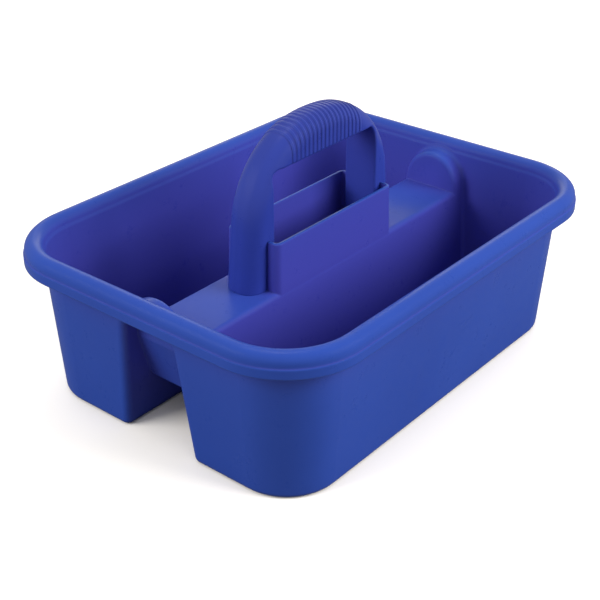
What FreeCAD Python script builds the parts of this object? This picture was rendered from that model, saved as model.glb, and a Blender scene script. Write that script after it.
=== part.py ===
import FreeCAD, Part
import Sketcher
import functools
import math
import os
import re

# Carry caddy: a moulded tub with two troughs either side of a raised saddle, and a carry handle
# whose two posts stand on the saddle. X runs along the handle, Y across the troughs, Z up.
# The origin is on the ground at the middle of the tub. All lengths are millimetres.

SIZES = [
    ("rim_length", 467, "overall length over the lip"),
    ("rim_width", 355, "overall width over the lip"),
    ("crest_height", 152.5, "top of the rolled rim above the ground"),
    ("roll_radius", 8.6, "outer radius of the rolled rim"),
    ("lip_step", 1.2, "how far the lip band stands out from the roll"),
    ("lip_drop", 21, "crest of the rim down to the bottom of the lip"),
    ("lip_band", 9.5, "height of the lip band"),
    ("lip_edge", 1, "round on the edges of the lip band"),
    ("rim_flare", 1.2, "how far the walls flare out under the roll"),
    ("flare_height", 3, "height of the flare under the roll"),
    ("wall", 3, "wall thickness of the tub"),
    ("wall_draft", 3.6, "draft of the outer walls in degrees"),
    ("wall_corner", 59, "plan radius of the outer wall corners under the rim"),
    ("base_round", 6, "round along the bottom outside edge"),
    ("saddle_half", 31, "half width of the saddle at the plateau"),
    ("saddle_draft", 6.2, "draft of the saddle sides in degrees"),
    ("plateau_height", 106, "top of the saddle above the ground"),
    ("plateau_round", 5, "round along the plateau edges"),
    ("notch_round", 7, "round on the edges of the end notches, outside"),
    ("trough_round", 4.5, "round between the saddle and the end walls, inside"),
    ("bulge_apex", 141, "top of the arched bulge inside each end wall"),
    ("bulge_round", 4.5, "round on the front edge of the bulge"),
    ("mouth_apex", 131, "top of the end notch in the outside face"),
    ("web_inset", 16.1, "end wall face in to the web, at the web knee"),
    ("web_knee", 95, "height where the web starts to lean in more"),
    ("web_lean", 3.3, "lean of the web above its knee in degrees"),
    ("web_skirt_lean", 18.7, "lean of the web below its knee in degrees"),
    ("web_bottom", 46.5, "lower edge of the web above the ground"),
    ("web_corner", 6, "round on the lower corners of the web"),
    ("tower_length", 170, "outside length of the pocket at the plateau"),
    ("tower_height", 47.5, "height of the pocket walls above the plateau"),
    ("tower_draft", 1.3, "draft of the pocket walls in degrees"),
    ("tower_corner", 6, "plan radius of the pocket's outside corners"),
    ("pocket_corner", 3, "plan radius of the pocket's inside corners"),
    ("tower_edge", 1.2, "round on the top edges of the pocket walls"),
    ("handle_width", 36, "width of the handle across the troughs"),
    ("handle_foot", 212, "length over both posts at the plateau"),
    ("handle_top", 248.5, "top of the grip above the ground"),
    ("handle_lean", 6.2, "lean of the posts' outer faces in degrees"),
    ("crown_radius", 178, "radius along the top of the grip"),
    ("shoulder_radius", 91, "radius of the handle's shoulders"),
    ("handle_round", 15, "round over the outer edges of the handle"),
    ("handle_wall", 3.5, "wall thickness of the hollow handle"),
    ("opening_length", 146, "clear length of the hand opening"),
    ("grip_underside", 214, "underside of the grip above the ground"),
    ("opening_corner", 10, "radius of the hand opening's upper corners"),
    ("opening_edge", 2, "round on the edges of the hand opening"),
    ("rib_zone", 96, "length of the grip that is ribbed"),
    ("rib_pitch", 5.6, "spacing of the ribs"),
    ("rib_width", 2.8, "width of a rib"),
    ("rib_height", 0.5, "how far a rib stands out"),
    ("seat_clearance", 0.3, "gap between a post and the pocket walls beside it"),
    ("boss_width", 10, "outside diameter of a screw boss in a post"),
    ("boss_spread", 21, "spacing of the two bosses across a post"),
    ("boss_height", 20, "height of the screw bosses above the plateau"),
    ("screw_shank", 4.2, "diameter of the screws"),
    ("screw_length", 16, "length of the screws under the head"),
    ("screw_head", 9, "diameter of the screw heads"),
    ("head_height", 3, "height of the screw heads"),
    ("head_edge", 1, "height of the upright edge of a screw head"),
    ("head_flat", 4.5, "diameter of the flat on a screw head"),
    ("screw_tip", 2.1, "diameter of the screws at the tip"),
    ("drive_length", 4.2, "length of the crossed drive slots in a screw head"),
    ("drive_width", 1.1, "width of the drive slots"),
    ("drive_depth", 1.5, "depth of the drive slots"),
    ("shank_clearance", 0.4, "gap round a screw in the saddle plate"),
    ("bite_clearance", 0.05, "gap round a screw in its boss"),
]

# Values worked out from the driving sizes, in the order they build on each other.
DERIVED = [
    ("roll_height", "crest_height - roll_radius"),
    ("join_height", "roll_height - flare_height"),
    ("rim_reach", "lip_step + 2 * roll_radius + rim_flare - wall"),
    ("wall_end", "rim_length / 2 - rim_reach"),
    ("wall_side", "rim_width / 2 - rim_reach"),
    ("wall_slope", "tan(wall_draft)"),
    ("saddle_slope", "tan(saddle_draft)"),
    ("saddle_foot", "saddle_half + plateau_height * saddle_slope"),
    ("channel_skin", "wall / cos(saddle_draft)"),
    ("channel_foot", "saddle_foot - channel_skin"),
    ("plate_underside", "plateau_height - wall"),
    ("web_half", "saddle_foot - web_bottom * saddle_slope - channel_skin"),
    ("web_face", "wall_end - (join_height - web_knee) * wall_slope - web_inset"),
    ("web_top_face", "web_face + (crest_height - web_knee) * tan(web_lean)"),
    ("web_foot_face", "web_face - (web_knee - web_bottom) * tan(web_skirt_lean)"),
    ("web_plate_face", "web_face + (plate_underside - web_knee) * tan(web_lean)"),
    ("bulge_foot", "plateau_height - 2 * plateau_round"),
    ("bulge_foot_face", "web_face + (bulge_foot - web_knee) * tan(web_lean) - wall"),
    ("tower_top", "plateau_height + tower_height"),
    ("tower_end", "tower_length / 2"),
    ("post_half", "handle_width / 2"),
    ("foot_half", "handle_foot / 2"),
    ("opening_half", "opening_length / 2"),
    ("lean_slope", "tan(handle_lean)"),
    ("crown_centre", "handle_top - crown_radius"),
    ("crown_reach", "crown_radius - shoulder_radius"),
    ("leg_offset", "foot_half - shoulder_radius / cos(handle_lean) + plateau_height * lean_slope"),
    ("shoulder_mid", "(leg_offset * lean_slope + crown_centre) / (1 + lean_slope ^ 2)"),
    ("shoulder_rest", "(leg_offset ^ 2 + crown_centre ^ 2 - crown_reach ^ 2) / (1 + lean_slope ^ 2)"),
    ("shoulder_height", "shoulder_mid + sqrt(shoulder_mid ^ 2 - shoulder_rest)"),
    ("shoulder_end", "leg_offset - shoulder_height * lean_slope"),
    ("leg_top_end", "shoulder_end + shoulder_radius * cos(handle_lean)"),
    ("leg_top_height", "shoulder_height + shoulder_radius * sin(handle_lean)"),
    ("crown_end", "shoulder_end * crown_radius / crown_reach"),
    ("crown_end_height", "crown_centre + (shoulder_height - crown_centre) * crown_radius / crown_reach"),
    ("screw_end", "(foot_half + opening_half) / 2"),
    ("bore_depth", "screw_length - wall + screw_shank / 2"),
    ("head_dome", "screw_head / 2"),
    ("hole_depth", "3 * wall"),
]

# Two measures closer than this are the same place.
TOUCH = 0.01

doc = FreeCAD.newDocument("carry_caddy")
sheet = doc.addObject("Spreadsheet::Sheet", "sizes")
for row, (alias, value, note) in enumerate(SIZES, start=1):
    sheet.set(f"A{row}", alias)
    sheet.set(f"B{row}", str(value))
    sheet.setAlias(f"B{row}", alias)
    sheet.set(f"C{row}", note)
doc.recompute()

SHEET_NAMES = {alias for alias, _, _ in SIZES}
DERIVED_NAMES = {name for name, _ in DERIVED}


def bound(expression):
    """The expression with every size and worked-out value written with its owner's name."""
    def owner(match):
        word = match.group(0)
        if word in SHEET_NAMES:
            return f"sizes.{word}"
        if word in DERIVED_NAMES:
            return f"derived.{word}"
        return word
    return re.sub(r"[a-z][a-z_]*", owner, expression)


derived = doc.addObject("App::VarSet", "derived")
for name, expression in DERIVED:
    derived.addProperty("App::PropertyFloat", name)
    derived.setExpression(name, bound(expression))
doc.recompute()


@functools.lru_cache(maxsize=None)
def value(expression):
    """The number that an expression gives."""
    return float(sheet.evalExpression(bound(expression)))


UPRIGHT_ALONG = FreeCAD.Rotation(FreeCAD.Vector(1, 0, 0), 90)
UPRIGHT_ACROSS = FreeCAD.Rotation(FreeCAD.Vector(1, 1, 1), 120)


def arc_between(start, end, radius):
    """A short arc from start to end. A positive radius bows to the right of the way it goes."""
    chord = end - start
    reach = math.sqrt(radius * radius - chord.Length * chord.Length / 4)
    left = FreeCAD.Vector(-chord.y, chord.x, 0).normalize()
    centre = (start + end) * 0.5 + left * math.copysign(reach, radius)
    first, last = (start, end) if radius > 0 else (end, start)
    angles = [math.atan2(point.y - centre.y, point.x - centre.x) for point in (first, last)]
    if angles[1] < angles[0]:
        angles[1] += 2 * math.pi
    return Part.ArcOfCircle(Part.Circle(centre, FreeCAD.Vector(0, 0, 1), abs(radius)), *angles)


def draw(sketch, outline):
    """Draws a closed outline. Each corner is (across, up) in expressions, with a third entry,
    a radius, where the stretch that leaves it is an arc, negative to bow to the left."""
    corners = [FreeCAD.Vector(value(corner[0]), value(corner[1]), 0) for corner in outline]
    ends = []
    for index, corner in enumerate(outline):
        start = corners[index]
        end = corners[(index + 1) % len(corners)]
        bowed_left = len(corner) == 3 and value(corner[2]) < 0
        ends.append((2, 1) if bowed_left else (1, 2))
        if len(corner) == 3:
            sketch.addGeometry(arc_between(start, end, value(corner[2])))
        else:
            sketch.addGeometry(Part.LineSegment(start, end))
    for index, corner in enumerate(outline):
        after = (index + 1) % len(outline)
        sketch.addConstraint(
            Sketcher.Constraint("Coincident", index, ends[index][1], after, ends[after][0]))
        for axis, kind in enumerate(("DistanceX", "DistanceY")):
            place = sketch.addConstraint(
                Sketcher.Constraint(kind, -1, 1, index, ends[index][0], corners[index][axis]))
            sketch.setExpression(f"Constraints[{place}]", bound(corner[axis]))
        if len(corner) == 3:
            size = sketch.addConstraint(Sketcher.Constraint("Radius", index, abs(value(corner[2]))))
            sketch.setExpression(f"Constraints[{size}]", bound(f"abs({corner[2]})"))


def sketch_at(name, outline, rotation=None, height=None):
    """A sketch of its own, on an upright plane through the origin or level at a height."""
    sketch = doc.addObject("Sketcher::SketchObject", name)
    if rotation is not None:
        sketch.Placement = FreeCAD.Placement(FreeCAD.Vector(), rotation)
    if height is not None:
        sketch.setExpression("Placement.Base.z", bound(height))
    draw(sketch, outline)
    return sketch


def rounded(half_x, half_y, radius):
    """A rectangle round the origin with rounded corners."""
    return [
        (f"-({half_x}) + ({radius})", f"-({half_y})"),
        (f"({half_x}) - ({radius})", f"-({half_y})", radius),
        (half_x, f"-({half_y}) + ({radius})"),
        (half_x, f"({half_y}) - ({radius})", radius),
        (f"({half_x}) - ({radius})", half_y),
        (f"-({half_x}) + ({radius})", half_y, radius),
        (f"-({half_x})", f"({half_y}) - ({radius})"),
        (f"-({half_x})", f"-({half_y}) + ({radius})", radius),
    ]


def loft(name, sections):
    feature = doc.addObject("Part::Loft", name)
    feature.Sections = sections
    feature.Solid = True
    feature.Ruled = True
    return feature


def prism(name, sketch, length, symmetric=True, direction=None):
    """The sketch drawn out from its plane, both ways or forward only."""
    feature = doc.addObject("Part::Extrusion", name)
    feature.Base = sketch
    feature.DirMode = "Normal"
    if direction is not None:
        feature.DirMode = "Custom"
        feature.Dir = direction
    feature.Solid = True
    feature.Symmetric = symmetric
    feature.setExpression("LengthFwd", bound(length))
    return feature


def joined(name, pieces):
    feature = doc.addObject("Part::MultiFuse", name)
    feature.Shapes = pieces
    feature.Refine = True
    return feature


def shared(name, pieces):
    feature = doc.addObject("Part::MultiCommon", name)
    feature.Shapes = pieces
    feature.Refine = True
    return feature


def cut(name, base, tool):
    feature = doc.addObject("Part::Cut", name)
    feature.Base = base
    feature.Tool = tool
    feature.Refine = True
    return feature


def eased(name, base, radius, wanted):
    """The base with its wanted edges rounded."""
    doc.recompute()
    feature = doc.addObject("Part::Fillet", name)
    feature.Base = base
    picked = [index for index, edge in enumerate(base.Shape.Edges, start=1) if wanted(edge)]
    feature.Edges = [(index, radius, radius) for index in picked]
    doc.recompute()
    return feature


def middle_of(edge):
    return edge.valueAt((edge.FirstParameter + edge.LastParameter) / 2)


def level_at(edge, height):
    box = edge.BoundBox
    return abs(box.ZMin - height) < TOUCH and abs(box.ZMax - height) < TOUCH


def wall_x(height):
    """Outside face of the end walls at a height."""
    return f"(wall_end - (join_height - ({height})) * wall_slope)"


def wall_y(height):
    """Outside face of the long walls at a height."""
    return f"(wall_side - (join_height - ({height})) * wall_slope)"


def corner_radius(height):
    """Plan radius of the outside corners at a height."""
    return f"(wall_corner - (join_height - ({height})) * wall_slope)"


def saddle_y(height):
    """Half width of the saddle at a height, seen from the troughs."""
    return f"(saddle_foot - ({height}) * saddle_slope)"


def tub_section(name, height, inset):
    """A level outline of the tub's wall, inset from its outside face."""
    return sketch_at(name, rounded(f"({wall_x(height)} - {inset})", f"({wall_y(height)} - {inset})",
                                   f"({corner_radius(height)} - {inset})"), height=height)


def arch(foot_half, apex):
    """An upright arch on sides that lean in with the saddle's draft."""
    reach = f"(({foot_half}) * cos(saddle_draft) - ({apex}) * sin(saddle_draft))"
    radius = f"({reach} / (1 - sin(saddle_draft)))"
    spring_y = f"({radius} * cos(saddle_draft))"
    spring_z = f"(({apex}) - {radius} * (1 - sin(saddle_draft)))"
    return [
        (f"-({foot_half})", "0"),
        (foot_half, "0"),
        (spring_y, spring_z, radius),
        ("0", apex, radius),
        (f"-{spring_y}", spring_z),
    ]


# Outside of the tub below the rim, before anything is hollowed out.
tall = "crest_height + roll_radius"
block = loft("block", [tub_section("block_base", "0", "0"), tub_section("block_top", "join_height", "0")])
block = eased("block_eased", block, value("base_round"), lambda edge: level_at(edge, 0))

# Room inside the walls, from the floor to well above the rim, before the saddle is taken out of it.
room = loft("room", [tub_section("room_floor", "wall", "wall"), tub_section("room_top", tall, "wall")])
room = eased("room_eased", room, value("base_round - wall"), lambda edge: level_at(edge, value("wall")))

# Saddle between the troughs, with an arched bulge at each end.
ridge = prism("ridge", sketch_at("ridge_section", [
    ("-saddle_foot", "0"),
    ("saddle_foot", "0"),
    ("saddle_half", "plateau_height"),
    ("-saddle_half", "plateau_height"),
], UPRIGHT_ACROSS), "rim_length")
ridge = eased("ridge_eased", ridge, value("plateau_round"),
              lambda edge: level_at(edge, value("plateau_height")) and edge.BoundBox.YLength < TOUCH)

bulge_arch = prism("bulge_arch", sketch_at("bulge_arch_section", arch("saddle_foot", "bulge_apex"),
                                           UPRIGHT_ACROSS), "rim_length")


def bulge_front(edge):
    """True on the arched front edge of a bulge."""
    point = middle_of(edge)
    lean = (point.z - value("web_knee")) * math.tan(math.radians(value("web_lean")))
    on_front = abs(abs(point.x) - (value("web_face - wall") + lean)) < TOUCH
    return on_front and not level_at(edge, value("bulge_foot"))


saddle_pieces = [ridge]
for side, sign in (("right", ""), ("left", "-")):
    zone = prism(f"bulge_zone_{side}", sketch_at(f"bulge_zone_{side}_section", [
        (f"{sign}(bulge_foot_face)", "bulge_foot"),
        (f"{sign}(rim_length / 2)", "bulge_foot"),
        (f"{sign}(rim_length / 2)", "crest_height"),
        (f"{sign}(web_top_face - wall)", "crest_height"),
    ], UPRIGHT_ALONG), "rim_width")
    bulge = shared(f"bulge_{side}", [bulge_arch, zone])
    saddle_pieces.append(eased(f"bulge_{side}_eased", bulge, value("bulge_round"), bulge_front))
saddle = joined("saddle", saddle_pieces)


def on_saddle_side(point):
    return abs(abs(point.y) - value(saddle_y(str(point.z)))) < TOUCH


def room_meets_saddle(edge):
    """True where the saddle meets the end walls and the floor inside the tub."""
    point = middle_of(edge)
    on_end = abs(abs(point.x) - value(f"{wall_x(str(point.z))} - wall")) < TOUCH
    if on_end:
        return abs(point.y) < value("saddle_foot") and point.z < value("crest_height")
    return on_saddle_side(point) and point.z < value("base_round") + value("wall")


room = cut("room_and_saddle", room, saddle)
room = eased("room_saddle_eased", room, value("trough_round"), room_meets_saddle)

# Walls of the pocket that stands on the saddle, not yet hollowed out.
def tower_section(name, height, inset, corner):
    """A level outline of the pocket's walls, which meet the saddle's sides at the plateau."""
    drawn_in = f"(({height}) - plateau_height) * tan(tower_draft) + {inset}"
    half_x = f"(tower_end - ({drawn_in}))"
    half_y = f"(saddle_half - ({drawn_in}))"
    return sketch_at(name, rounded(half_x, half_y, corner), height=height)


tower = loft("tower", [tower_section("tower_base", "bulge_foot", "0", "tower_corner"),
                       tower_section("tower_rim", "tower_top", "0", "tower_corner")])
tower = eased("tower_eased", tower, value("tower_edge"), lambda edge: level_at(edge, value("tower_top")))
block = joined("block_and_tower", [block, tower])
room = cut("room_and_tower", room, tower)

# Space below the saddle: the channel between the webs, and the notch under each end of the rim.
core = prism("core", sketch_at("core_section", [
    ("web_foot_face", "web_bottom"),
    ("web_face", "web_knee"),
    ("web_top_face", "crest_height"),
    ("-web_top_face", "crest_height"),
    ("-web_face", "web_knee"),
    ("-web_foot_face", "web_bottom"),
    ("-(web_foot_face - wall)", "web_bottom"),
    ("-(web_face - wall)", "web_knee"),
    ("-(web_plate_face - wall)", "plate_underside"),
    ("web_plate_face - wall", "plate_underside"),
    ("web_face - wall", "web_knee"),
    ("web_foot_face - wall", "web_bottom"),
], UPRIGHT_ALONG), "rim_width")
tongue = prism("web_tongue", sketch_at("web_tongue_section", [
    ("-(web_half - web_corner)", "web_bottom"),
    ("web_half - web_corner", "web_bottom", "web_corner"),
    ("web_half", "web_bottom + web_corner"),
    ("web_half", "crest_height"),
    ("-web_half", "crest_height"),
    ("-web_half", "web_bottom + web_corner", "web_corner"),
], UPRIGHT_ACROSS), "rim_length")
core = shared("saddle_core", [core, tongue])
mouth = prism("mouth", sketch_at("mouth_section", arch("channel_foot", "mouth_apex"), UPRIGHT_ACROSS),
              "2 * rim_length")
under = cut("under", mouth, core)


def on_channel_side(point):
    return abs(abs(point.y) - value(f"{saddle_y(str(point.z))} - channel_skin")) < TOUCH


def notch_edge(edge):
    """True on the outside edges of the notches and along the bottom of the channel."""
    point = middle_of(edge)
    on_end = abs(abs(point.x) - value(wall_x(str(point.z)))) < TOUCH
    if on_end:
        return abs(point.y) < value("saddle_foot") and point.z < value("join_height") - TOUCH
    return on_channel_side(point) and point.z < value("base_round")


block = cut("block_and_notch", block, under)
block = eased("block_notch_eased", block, value("notch_round"), notch_edge)

# Rolled rim with a lip band, hollow underneath, carried round the top of the walls.
def rim_outline(face):
    """The rim's section, outward from the outside face of a wall."""
    inner = f"({face} - wall)"
    flared = f"({inner} + rim_flare)"
    middle = f"({flared} + roll_radius)"
    outer = f"({flared} + 2 * roll_radius)"
    lip = f"({outer} + lip_step)"
    lip_bottom = "(crest_height - lip_drop)"
    lip_top = f"({lip_bottom} + lip_band)"
    return [
        (inner, "join_height"),
        (face, "join_height"),
        (f"{flared} + wall", "roll_height", "-(roll_radius - wall)"),
        (middle, "crest_height - wall", "-(roll_radius - wall)"),
        (f"{outer} - wall", "roll_height"),
        (f"{outer} - wall", lip_top),
        (f"{lip} - wall", f"{lip_top} - lip_step"),
        (f"{lip} - wall", lip_bottom),
        (f"{lip} - lip_edge", lip_bottom, "lip_edge"),
        (lip, f"{lip_bottom} + lip_edge"),
        (lip, f"{lip_top} - lip_edge", "lip_edge"),
        (f"{lip} - lip_edge", lip_top),
        (outer, lip_top),
        (outer, "roll_height", "roll_radius"),
        (middle, "crest_height", "roll_radius"),
        (flared, "roll_height"),
    ]


def mirrored(name, source, normal):
    feature = doc.addObject("Part::Mirroring", name)
    feature.Source = source
    feature.Normal = normal
    return feature


ALONG = FreeCAD.Vector(1, 0, 0)
ACROSS = FreeCAD.Vector(0, 1, 0)
UP = FreeCAD.Vector(0, 0, 1)
end_run = prism("rim_end_run", sketch_at("rim_end_section", rim_outline("wall_end"), UPRIGHT_ALONG),
                "wall_side - wall_corner", symmetric=False, direction=ACROSS)
side_run = prism("rim_side_run", sketch_at("rim_side_section", rim_outline("wall_side"), UPRIGHT_ACROSS),
                 "wall_end - wall_corner", symmetric=False, direction=ALONG)
turn_section = sketch_at("rim_turn_section", rim_outline("wall_end"), UPRIGHT_ALONG)
turn_section.setExpression("Placement.Base.y", bound("wall_side - wall_corner"))
turn = doc.addObject("Part::Revolution", "rim_turn")
turn.Source = turn_section
turn.Axis = UP
turn.Angle = 90
turn.Solid = True
turn.setExpression("Base.x", bound("wall_end - wall_corner"))
turn.setExpression("Base.y", bound("wall_side - wall_corner"))
rim_quarter = joined("rim_quarter", [end_run, turn, side_run])
rim_half = joined("rim_half", [rim_quarter, mirrored("rim_quarter_across", rim_quarter, ACROSS)])
rim = joined("rim", [rim_half, mirrored("rim_half_along", rim_half, ALONG)])

# Crown of each bulge, where it rises past the walls and runs into the roll.
bulge_crowns = []
crown_arch = prism("bulge_crown_arch", sketch_at("bulge_crown_arch_section", arch(
    "saddle_foot + trough_round", "bulge_apex + trough_round"), UPRIGHT_ACROSS), "rim_length")
for side, sign in (("right", ""), ("left", "-")):
    zone = prism(f"bulge_crown_zone_{side}", sketch_at(f"bulge_crown_zone_{side}_section", [
        (f"{sign}(bulge_foot_face)", "join_height - wall"),
        (f"{sign}(wall_end - wall / 2)", "join_height - wall"),
        (f"{sign}(wall_end - wall / 2)", "join_height"),
        (f"{sign}(wall_end - wall / 2 + rim_flare)", "roll_height"),
        (f"{sign}(wall_end - wall / 2 + rim_flare)", "crest_height"),
        (f"{sign}(bulge_foot_face)", "crest_height"),
    ], UPRIGHT_ALONG), "rim_width")
    bulge_crowns.append(shared(f"bulge_crown_{side}", [crown_arch, zone]))

# Finger room behind each end wall, above the notch.
recesses = []
recess_arch = prism("recess_arch", sketch_at("recess_arch_section", arch(
    "channel_foot", "bulge_apex - wall"), UPRIGHT_ACROSS), "rim_length")
for side, sign in (("right", ""), ("left", "-")):
    zone = prism(f"recess_zone_{side}", sketch_at(f"recess_zone_{side}_section", [
        (f"{sign}(web_plate_face)", "plate_underside"),
        (f"{sign}({wall_x('plate_underside')} - wall)", "plate_underside"),
        (f"{sign}({wall_x('crest_height')} - wall)", "crest_height"),
        (f"{sign}(web_top_face)", "crest_height"),
    ], UPRIGHT_ALONG), "rim_width")
    recesses.append(shared(f"recess_{side}", [recess_arch, zone]))


# Room in the pocket, and the slots in its ends that take the handle's posts.
pocket = loft("pocket", [tower_section("pocket_floor", "plateau_height", "wall", "pocket_corner"),
                         tower_section("pocket_top", "tower_top + wall", "wall", "pocket_corner")])
slots = prism("post_slots", sketch_at("post_slots_section", [
    ("-(tower_end + wall)", "-(post_half + seat_clearance)"),
    ("tower_end + wall", "-(post_half + seat_clearance)"),
    ("tower_end + wall", "post_half + seat_clearance"),
    ("-(tower_end + wall)", "post_half + seat_clearance"),
], height="plateau_height"), "tower_height + wall", symmetric=False)


def cylinder(name, radius, height, end, side, foot):
    """An upright cylinder from its expressions."""
    feature = doc.addObject("Part::Cylinder", name)
    feature.setExpression("Radius", bound(radius))
    feature.setExpression("Height", bound(height))
    feature.setExpression("Placement.Base.x", bound(end))
    feature.setExpression("Placement.Base.y", bound(side))
    feature.setExpression("Placement.Base.z", bound(foot))
    return feature


CORNERS = [("", ""), ("", "-"), ("-", ""), ("-", "-")]
screw_holes = []
for index, (along, across) in enumerate(CORNERS):
    place = (f"{along}screw_end", f"{across}boss_spread / 2", "plate_underside - wall")
    screw_holes.append(
        cylinder(f"screw_hole_{index}", "(screw_shank + shank_clearance) / 2", "hole_depth", *place))

tub = cut("tub_hollow", joined("tub_solid", [block] + bulge_crowns), room)
tub = joined("tub_rimmed", [tub, rim])
tub = cut("tub_open", tub, joined("tub_openings", recesses + [pocket, slots] + screw_holes))
tub.Label = "tub"

# Carry handle: a hollow arch, open underneath, on two posts that stand on the saddle.
def handle_side(grow):
    """The arch seen from the side, grown outward by an amount."""
    foot = f"(foot_half + ({grow}) / cos(handle_lean))"
    leg_x = f"(leg_top_end + ({grow}) * cos(handle_lean))"
    leg_z = f"(leg_top_height + ({grow}) * sin(handle_lean))"
    crown_x = f"(crown_end * (1 + ({grow}) / crown_radius))"
    crown_z = f"(crown_centre + (crown_end_height - crown_centre) * (1 + ({grow}) / crown_radius))"
    return [
        (f"-{foot}", "plateau_height"),
        (foot, "plateau_height"),
        (leg_x, leg_z, f"shoulder_radius + ({grow})"),
        (crown_x, crown_z, f"crown_radius + ({grow})"),
        (f"-{crown_x}", crown_z, f"shoulder_radius + ({grow})"),
        (f"-{leg_x}", leg_z),
    ]


def on_side_face(edge, half_width):
    """True on an edge that lies in a side face of the handle."""
    return abs(abs(middle_of(edge).y) - half_width) < TOUCH and edge.BoundBox.YLength < TOUCH


def arch_solid(name, grow):
    """The arch as a solid, with its outer edges rounded over."""
    side = sketch_at(f"{name}_side", handle_side(grow), UPRIGHT_ALONG)
    solid = prism(name, side, f"handle_width + 2 * ({grow})")
    half_width = value(f"post_half + ({grow})")
    return eased(f"{name}_eased", solid, value(f"handle_round + ({grow})"), lambda edge: on_side_face(
        edge, half_width) and not level_at(edge, value("plateau_height")))


def on_opening_edge(edge):
    """True on the edges of the hand opening."""
    point = middle_of(edge)
    inside = abs(point.x) < value("opening_half") + TOUCH and point.z < value("grip_underside") + TOUCH
    return inside and on_side_face(edge, value("post_half")) and not level_at(edge, value("plateau_height"))


hand_opening = prism("hand_opening", sketch_at("hand_opening_side", [
    ("-opening_half", "plateau_height - wall"),
    ("opening_half", "plateau_height - wall"),
    ("opening_half", "grip_underside - opening_corner", "opening_corner"),
    ("opening_half - opening_corner", "grip_underside"),
    ("-(opening_half - opening_corner)", "grip_underside", "opening_corner"),
    ("-opening_half", "grip_underside - opening_corner"),
], UPRIGHT_ALONG), "2 * handle_width")
handle = cut("handle_open", arch_solid("handle_arch", "0"), hand_opening)
handle = eased("handle_open_eased", handle, value("opening_edge"), on_opening_edge)

# Ribs across the grip, each a slice of the same arch made a little larger.
rib_count = int(value("rib_zone / rib_pitch")) + 1
slices = []
for index in range(rib_count):
    slab = doc.addObject("Part::Box", f"rib_slice_{index}")
    slab.setExpression("Length", bound("rib_width"))
    slab.setExpression("Width", bound("2 * handle_width"))
    slab.setExpression("Height", bound("handle_top - grip_underside"))
    steps = f"({index} - {rib_count - 1} / 2)"
    slab.setExpression("Placement.Base.x", bound(f"{steps} * rib_pitch - rib_width / 2"))
    slab.setExpression("Placement.Base.y", bound("-handle_width"))
    slab.setExpression("Placement.Base.z", bound("grip_underside + opening_edge"))
    slices.append(slab)
ribs = shared("ribs", [arch_solid("rib_arch", "rib_height"), joined("rib_slices", slices)])
handle = joined("handle_ribbed", [handle, ribs])

# The hollows inside the handle: one under the grip and one up each post.
grip_hollow_end = "(opening_half - opening_corner)"
post_hollow_end = "(opening_half + handle_wall)"
hollow_zones = [prism("grip_hollow_zone", sketch_at("grip_hollow_zone_side", [
    (f"-{grip_hollow_end}", "grip_underside - 2 * opening_edge"),
    (grip_hollow_end, "grip_underside - 2 * opening_edge"),
    (grip_hollow_end, "handle_top"),
    (f"-{grip_hollow_end}", "handle_top"),
], UPRIGHT_ALONG), "2 * handle_width")]
for side, sign in (("right", ""), ("left", "-")):
    hollow_zones.append(prism(f"post_hollow_zone_{side}", sketch_at(f"post_hollow_zone_{side}_side", [
        (f"{sign}{post_hollow_end}", "plateau_height - wall"),
        (f"{sign}(2 * foot_half)", "plateau_height - wall"),
        (f"{sign}(2 * foot_half)", "handle_top"),
        (f"{sign}{post_hollow_end}", "handle_top"),
    ], UPRIGHT_ALONG), "2 * handle_width"))
hollows = shared("handle_hollows", [arch_solid("hollow_arch", "-handle_wall"),
                                    joined("hollow_zones", hollow_zones)])
handle = cut("handle_hollow", handle, hollows)

# Bosses in the posts that take the screws.
bosses = []
bores = []
for index, (along, across) in enumerate(CORNERS):
    place = (f"{along}screw_end", f"{across}boss_spread / 2", "plateau_height")
    bosses.append(cylinder(f"boss_{index}", "boss_width / 2", "boss_height", *place))
    bores.append(cylinder(f"bore_{index}", "screw_shank / 2 + bite_clearance", "bore_depth", *place))
handle = joined("handle_bossed", [handle] + bosses)
handle = cut("handle", handle, joined("bores", bores))
handle.Label = "handle"

# Pan-head screws, driven up from the channel through the saddle into the posts.
screw_section = sketch_at("screw_section", [
    ("screw_end", "plate_underside - head_height"),
    ("screw_end + head_flat / 2", "plate_underside - head_height", "head_dome"),
    ("screw_end + screw_head / 2", "plate_underside - head_edge"),
    ("screw_end + screw_head / 2", "plate_underside"),
    ("screw_end + screw_shank / 2", "plate_underside"),
    ("screw_end + screw_shank / 2", "plate_underside + screw_length - screw_shank / 2"),
    ("screw_end + screw_tip / 2", "plate_underside + screw_length"),
    ("screw_end", "plate_underside + screw_length"),
], UPRIGHT_ALONG)
screw_section.setExpression("Placement.Base.y", bound("boss_spread / 2"))
screw = doc.addObject("Part::Revolution", "screw_turned")
screw.Source = screw_section
screw.Axis = UP
screw.Angle = 360
screw.Solid = True
screw.setExpression("Base.x", bound("screw_end"))
screw.setExpression("Base.y", bound("boss_spread / 2"))
drive_slots = []
DRIVE_SLOTS = [("along", "drive_length", "drive_width"), ("across", "drive_width", "drive_length")]
for name, length, width in DRIVE_SLOTS:
    slot = doc.addObject("Part::Box", f"drive_slot_{name}")
    slot.setExpression("Length", bound(length))
    slot.setExpression("Width", bound(width))
    slot.setExpression("Height", bound("drive_depth"))
    slot.setExpression("Placement.Base.x", bound(f"screw_end - {length} / 2"))
    slot.setExpression("Placement.Base.y", bound(f"boss_spread / 2 - {width} / 2"))
    slot.setExpression("Placement.Base.z", bound("plate_underside - head_height"))
    drive_slots.append(slot)
screw = cut("screw", screw, joined("drive_slots", drive_slots))
screw_across = mirrored("screw_across", screw, ACROSS)
screws = doc.addObject("Part::Compound", "screws")
screws.Links = [screw, screw_across, mirrored("screw_along", screw, ALONG),
                mirrored("screw_opposite", screw_across, ALONG)]
screws.Label = "handle_screws"
doc.recompute()

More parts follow.
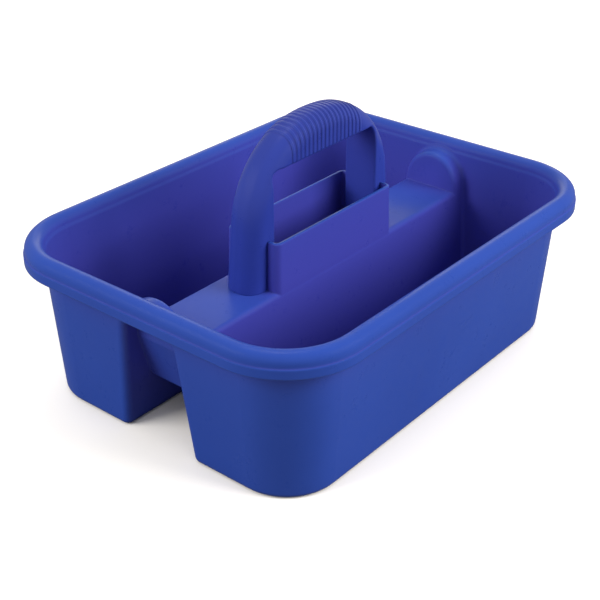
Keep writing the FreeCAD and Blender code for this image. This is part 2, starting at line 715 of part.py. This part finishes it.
for item in doc.Objects:
    if "Invalid" in item.State or "Error" in item.State:
        raise RuntimeError(f"{item.Name} failed: {item.State}")
nodes = [tub, handle, screws]
for node in nodes:
    if node.Shape.isNull() or not node.Shape.isValid():
        raise RuntimeError(f"{node.Label} has no valid shape")
os.makedirs("parts", exist_ok=True)
for node in nodes:
    node.Shape.exportStep(f"parts/{node.Label}.step")
    print(node.Label, len(node.Shape.Solids), round(node.Shape.Volume), node.Shape.optimalBoundingBox())
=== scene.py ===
import bpy
from mathutils import Matrix, Vector

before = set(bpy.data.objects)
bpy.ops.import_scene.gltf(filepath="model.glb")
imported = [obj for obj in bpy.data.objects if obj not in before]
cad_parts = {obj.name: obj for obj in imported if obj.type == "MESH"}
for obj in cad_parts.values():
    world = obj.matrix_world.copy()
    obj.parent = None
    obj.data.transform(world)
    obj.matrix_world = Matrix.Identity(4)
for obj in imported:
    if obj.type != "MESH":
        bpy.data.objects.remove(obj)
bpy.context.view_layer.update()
scene = bpy.context.scene
scene.view_settings.view_transform = "Standard"

UP = Vector((0, 0, 1))
WHITE = (1, 1, 1)

# Camera: where it stands in metres, which way it looks, and its lens and square frame in millimetres.
CAMERA_PLACE = Vector((-0.7857, -0.6336, 0.6216))
CAMERA_FORWARD = Vector((0.6722, 0.5542, -0.4909))
CAMERA_LENS = 72.26
CAMERA_FRAME = 36

# Plastic colours: a darker and a plain tone, the tone of rubbed edges and scuffs, and a violet tone painted
# into hollows as shade.
TUB_BLUE = dict(
    deep=(0.021, 0.062, 0.350),
    plain=(0.024, 0.070, 0.384),
    worn=(0.045, 0.105, 0.450),
    hollow_shade=(0.061, 0.063, 0.385),
)
# Painted shade: the handle takes darker, more violet deep and plain tones, a shaded copy of the tub's blue.
HANDLE_SHADED_BLUE = dict(TUB_BLUE, deep=(0.025, 0.044, 0.285), plain=(0.031, 0.053, 0.335))

# Noise lies mostly in this range. Its scales are in features to the metre, and heights are in metres.
NOISE_RANGE = (0.3, 0.7)

# Plastic gloss, and the rounds that its sharp edges are shaded with.
PLASTIC_IOR = 1.49
PLASTIC_SPECULAR = 0.3
PLASTIC_ROUGHNESS = (0.27, 0.37)
TUB_EDGE_ROUND = 0.0022
HANDLE_EDGE_ROUND = 0.0013
EDGE_MATCH = (0.75, 0.995)
RUBBED_SHARE = 0.55

# Plastic detail: fine grain, slow flow, mottle between the two, scuffs that lie level, and painted shade in
# hollows.
GRAIN_SCALE = 1700
GRAIN_HEIGHT = 0.00009
GRAIN_STRENGTH = 0.35
GRAIN_ROUGHNESS = (-0.03, 0.03)
FLOW_SCALE = 6
FLOW_HEIGHT = 0.0015
FLOW_STRENGTH = 0.25
MOTTLE_SCALE = 55
MOTTLE_TONE = (-0.03, 0.03)
TONE_RANGE = (0.35, 0.65)
SCUFF_SCALE = 38
SCUFF_STRETCH = (1, 1, 5)
SCUFF_RANGE = (0.62, 0.74)
SCUFF_COLOUR = 0.05
SCUFF_ROUGHNESS = 0.03
# Painted shade: faces that the piece itself hems in within this reach turn to the violet hollow tone over
# this range of openness.
HOLLOW_SHADE_REACH = 0.3
HOLLOW_SHADE_RANGE = (0.45, 0.95)

# Plated screws: two tones of zinc, its mottle and the marks of turning.
ZINC_DARK = (0.46, 0.47, 0.49)
ZINC_PALE = (0.72, 0.72, 0.70)
ZINC_ROUGHNESS = (0.22, 0.42)
ZINC_MOTTLE_SCALE = 900
TURNING_SCALE = 2600
TURNING_STRETCH = (1, 1, 0.15)
TURNING_HEIGHT = 0.00003
TURNING_STRENGTH = 0.5

# Floor: its half width, its colour to the object and to the eye, and how it lifts to white away from shade.
FLOOR_HALF = 6.0
FLOOR_BOUNCE = (0.23, 0.23, 0.23)
FLOOR_SEEN = (0.97, 0.91, 0.82)
# Painted shade: within this reach ambient occlusion holds the floor's lift to white back, so the floor
# darkens under and beside the object, warm from its seen colour.
SHADE_REACH = 0.12
SHADE_RANGE = (0.3, 0.55)
SHADE_LIFT = (0, 0.35)
FAR_RANGE = (0.6, 2.4)

# Surround: its colour and strength on the object.
SURROUND_COLOUR = (0.95, 0.97, 1.0)
SURROUND_STRENGTH = 0.45

# Lamps: name, place, the point faced, width and height, power in watts, and whether glosses show it.
LAMPS = (
    ("right", (1.2, -2.6, 1.75), (0, 0, 0.1), (2.0, 1.6), 108, False),
    ("left", (-2.6, 1.6, 1.75), (0, 0, 0.1), (2.0, 1.6), 86, False),
    ("overhead", (0.6, 0.8, 3.2), (0, 0, 0.1), (1.0, 1.0), 8, True),
    ("behind", (2.6, 2.15, 1.2), (0, 0, 0.15), (2.4, 1.0), 9, True),
)


def facing(forward):
    """A rotation that looks along forward with the picture's top up."""
    back = -forward.normalized()
    right = UP.cross(back).normalized()
    up = back.cross(right)
    return Matrix((right, up, back)).transposed()


def called(sockets, identifier):
    """The socket with an identifier, for nodes where several share a name."""
    return next(socket for socket in sockets if socket.identifier == identifier)


class Nodes:
    """Short ways to add and join the nodes of one material or world."""

    def __init__(self, owner):
        self.owner = owner
        owner.use_nodes = True
        self.tree = owner.node_tree
        self.tree.nodes.clear()

    def add(self, kind, **settings):
        node = self.tree.nodes.new(kind)
        for key, setting in settings.items():
            setattr(node, key, setting)
        return node

    def join(self, source, target):
        self.tree.links.new(source, target)

    def noise(self, scale, detail, roughness=0.5, stretch=None):
        """Noise in the object's own space, which may be drawn out along an axis."""
        place = self.add("ShaderNodeTexCoord").outputs["Object"]
        if stretch:
            mapping = self.add("ShaderNodeMapping")
            mapping.inputs["Scale"].default_value = stretch
            self.join(place, mapping.inputs["Vector"])
            place = mapping.outputs["Vector"]
        texture = self.add("ShaderNodeTexNoise")
        texture.inputs["Scale"].default_value = scale
        texture.inputs["Detail"].default_value = detail
        texture.inputs["Roughness"].default_value = roughness
        self.join(place, texture.inputs["Vector"])
        return texture.outputs["Fac"]

    def spread(self, source, span, result):
        """The source's stretch over a span, taken to the two ends of a result."""
        node = self.add("ShaderNodeMapRange")
        node.inputs["From Min"].default_value = span[0]
        node.inputs["From Max"].default_value = span[1]
        node.inputs["To Min"].default_value = result[0]
        node.inputs["To Max"].default_value = result[1]
        self.join(source, node.inputs["Value"])
        return node.outputs["Result"]

    def math(self, operation, first, second):
        """An operation on two values, each a socket or a plain number."""
        node = self.add("ShaderNodeMath", operation=operation)
        for socket, source in zip(node.inputs, (first, second)):
            if isinstance(source, (int, float)):
                socket.default_value = source
            else:
                self.join(source, socket)
        return node.outputs["Value"]

    def blend(self, share, first, second):
        """A colour between two, each a socket or a plain colour."""
        node = self.add("ShaderNodeMix", data_type="RGBA")
        self.join(share, node.inputs["Factor"])
        for identifier, source in (("A_Color", first), ("B_Color", second)):
            socket = called(node.inputs, identifier)
            if isinstance(source, tuple):
                socket.default_value = (*source, 1)
            else:
                self.join(source, socket)
        return called(node.outputs, "Result_Color")

    def bump(self, height, distance, strength, under=None):
        """A normal that follows a height, over another normal where one is given."""
        node = self.add("ShaderNodeBump")
        node.inputs["Strength"].default_value = strength
        node.inputs["Distance"].default_value = distance
        self.join(height, node.inputs["Height"])
        if under is not None:
            self.join(under, node.inputs["Normal"])
        return node.outputs["Normal"]

    def softened(self, radius):
        """The surface normal, with sharp edges shaded as small rounds."""
        bevel = self.add("ShaderNodeBevel", samples=6)
        bevel.inputs["Radius"].default_value = radius
        return bevel.outputs["Normal"]

    def edges(self, soft):
        """One where the softened normal turns at an edge, and nought on open faces."""
        true_normal = self.add("ShaderNodeNewGeometry").outputs["Normal"]
        match = self.add("ShaderNodeVectorMath", operation="DOT_PRODUCT")
        self.join(soft, match.inputs[0])
        self.join(true_normal, match.inputs[1])
        return self.spread(match.outputs["Value"], EDGE_MATCH, (1, 0))

    def openness(self, reach, alone=False):
        """One on open faces and less in hollows within a reach, of everything or of the piece alone."""
        hollow_shade = self.add("ShaderNodeAmbientOcclusion", samples=6, only_local=alone)
        hollow_shade.inputs["Distance"].default_value = reach
        return hollow_shade.outputs["AO"]

    def glow(self, kind, colour, strength=1.0):
        """A shader that shines by itself, on a surface or from the surround."""
        node = self.add(kind)
        node.inputs["Color"].default_value = (*colour, 1)
        node.inputs["Strength"].default_value = strength
        return node

    def surface(self, shader, kind="ShaderNodeOutputMaterial"):
        self.join(shader, self.add(kind).inputs["Surface"])
        return self.owner


def moulded_plastic(name, edge_round, deep, plain, worn, hollow_shade):
    """Satin moulded plastic: fine grain, slow flow variation, rubbed edges, faint scuffs, and violet shade
    painted into hollows.
    """
    nodes = Nodes(bpy.data.materials.new(name))
    shader = nodes.add("ShaderNodeBsdfPrincipled")
    shader.inputs["IOR"].default_value = PLASTIC_IOR
    shader.inputs["Specular IOR Level"].default_value = PLASTIC_SPECULAR
    grain = nodes.noise(GRAIN_SCALE, detail=3, roughness=0.6)
    flow = nodes.noise(FLOW_SCALE, detail=3)
    mottle = nodes.noise(MOTTLE_SCALE, detail=4, roughness=0.6)
    scuff = nodes.noise(SCUFF_SCALE, detail=6, roughness=0.7, stretch=SCUFF_STRETCH)
    scuff = nodes.spread(scuff, SCUFF_RANGE, (0, 1))
    soft = nodes.softened(edge_round)

    mottled_flow = nodes.math("ADD", flow, nodes.spread(mottle, NOISE_RANGE, MOTTLE_TONE))
    colour = nodes.blend(nodes.spread(mottled_flow, TONE_RANGE, (0, 1)), deep, plain)
    # Painted shade: where the piece hems a face in, its colour is blended to the violet hollow tone.
    open_share = nodes.spread(nodes.openness(HOLLOW_SHADE_REACH, alone=True), HOLLOW_SHADE_RANGE, (0, 1))
    colour = nodes.blend(open_share, hollow_shade, colour)
    rubbed = nodes.math("MULTIPLY", nodes.math("MULTIPLY", nodes.edges(soft), mottle), RUBBED_SHARE)
    colour = nodes.blend(rubbed, colour, worn)
    colour = nodes.blend(nodes.math("MULTIPLY", scuff, SCUFF_COLOUR), colour, worn)
    nodes.join(colour, shader.inputs["Base Color"])

    satin = nodes.spread(mottle, NOISE_RANGE, PLASTIC_ROUGHNESS)
    scuffed = nodes.math("ADD", satin, nodes.math("MULTIPLY", scuff, SCUFF_ROUGHNESS))
    grained = nodes.math("ADD", scuffed, nodes.spread(grain, NOISE_RANGE, GRAIN_ROUGHNESS))
    nodes.join(grained, shader.inputs["Roughness"])

    slow = nodes.bump(flow, FLOW_HEIGHT, FLOW_STRENGTH, soft)
    nodes.join(nodes.bump(grain, GRAIN_HEIGHT, GRAIN_STRENGTH, slow), shader.inputs["Normal"])
    return nodes.surface(shader.outputs["BSDF"])


def plated_steel(name):
    """Zinc-plated steel with fine turning marks and a mottled plate."""
    nodes = Nodes(bpy.data.materials.new(name))
    shader = nodes.add("ShaderNodeBsdfPrincipled")
    shader.inputs["Metallic"].default_value = 1
    mottle = nodes.noise(ZINC_MOTTLE_SCALE, detail=4)
    marks = nodes.noise(TURNING_SCALE, detail=2, stretch=TURNING_STRETCH)
    nodes.join(nodes.blend(mottle, ZINC_DARK, ZINC_PALE), shader.inputs["Base Color"])
    nodes.join(nodes.spread(mottle, NOISE_RANGE, ZINC_ROUGHNESS), shader.inputs["Roughness"])
    nodes.join(nodes.bump(marks, TURNING_HEIGHT, TURNING_STRENGTH), shader.inputs["Normal"])
    return nodes.surface(shader.outputs["BSDF"])


def pale_floor(name):
    """Paper that keeps the lamps' shadow and is white to the eye in the open; near the object, ambient
    occlusion holds the lift back, painting a warm contact shade.
    """
    nodes = Nodes(bpy.data.materials.new(name))
    seen = nodes.add("ShaderNodeLightPath").outputs["Is Camera Ray"]
    paper = nodes.add("ShaderNodeBsdfDiffuse")
    nodes.join(nodes.blend(seen, FLOOR_BOUNCE, FLOOR_SEEN), paper.inputs["Color"])
    # Painted shade: the lift to white is held back where ambient occlusion finds the object near.
    clear = nodes.spread(nodes.openness(SHADE_REACH), SHADE_RANGE, SHADE_LIFT)
    from_middle = nodes.add("ShaderNodeVectorMath", operation="LENGTH")
    nodes.join(nodes.add("ShaderNodeTexCoord").outputs["Object"], from_middle.inputs[0])
    far = nodes.spread(from_middle.outputs["Value"], FAR_RANGE, (0, 1))
    lift = nodes.glow("ShaderNodeEmission", WHITE)
    lift_strength = nodes.math("MULTIPLY", seen, nodes.math("MAXIMUM", clear, far))
    nodes.join(lift_strength, lift.inputs["Strength"])
    both = nodes.add("ShaderNodeAddShader")
    nodes.join(paper.outputs["BSDF"], both.inputs[0])
    nodes.join(lift.outputs["Emission"], both.inputs[1])
    return nodes.surface(both.outputs["Shader"])


def studio_world(name):
    """An even studio surround, white to the eye."""
    nodes = Nodes(bpy.data.worlds.new(name))
    surround = nodes.glow("ShaderNodeBackground", SURROUND_COLOUR, SURROUND_STRENGTH)
    white = nodes.glow("ShaderNodeBackground", WHITE)
    choice = nodes.add("ShaderNodeMixShader")
    nodes.join(nodes.add("ShaderNodeLightPath").outputs["Is Camera Ray"], choice.inputs[0])
    nodes.join(surround.outputs["Background"], choice.inputs[1])
    nodes.join(white.outputs["Background"], choice.inputs[2])
    return nodes.surface(choice.outputs["Shader"], "ShaderNodeOutputWorld")


def soft_light(name, place, target, size, power, gloss):
    """A large soft lamp, which may be kept out of the glosses."""
    data = bpy.data.lights.new(name, "AREA")
    data.shape = "RECTANGLE"
    data.size, data.size_y = size
    data.energy = power
    light = bpy.data.objects.new(name, data)
    forward = Vector(target) - Vector(place)
    light.matrix_world = Matrix.Translation(place) @ facing(forward).to_4x4()
    light.visible_glossy = gloss
    scene.collection.objects.link(light)


camera = bpy.data.objects.new("camera", bpy.data.cameras.new("camera"))
camera.data.lens = CAMERA_LENS
camera.data.sensor_width = CAMERA_FRAME
camera.matrix_world = Matrix.Translation(CAMERA_PLACE) @ facing(CAMERA_FORWARD).to_4x4()
scene.collection.objects.link(camera)
scene.camera = camera

materials = {
    "tub": moulded_plastic("tub_plastic", TUB_EDGE_ROUND, **TUB_BLUE),
    "handle": moulded_plastic("handle_plastic", HANDLE_EDGE_ROUND, **HANDLE_SHADED_BLUE),
    "handle_screws": plated_steel("screw_steel"),
}
for node_name, material in materials.items():
    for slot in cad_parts[node_name].material_slots:
        slot.material = material

floor_corners = [
    (-FLOOR_HALF, -FLOOR_HALF, 0),
    (FLOOR_HALF, -FLOOR_HALF, 0),
    (FLOOR_HALF, FLOOR_HALF, 0),
    (-FLOOR_HALF, FLOOR_HALF, 0),
]
floor_mesh = bpy.data.meshes.new("floor")
floor_mesh.from_pydata(floor_corners, [], [(0, 1, 2, 3)])
floor_mesh.materials.append(pale_floor("pale_floor"))
floor = bpy.data.objects.new("floor", floor_mesh)
scene.collection.objects.link(floor)

scene.world = studio_world("studio")
for lamp in LAMPS:
    soft_light(*lamp)
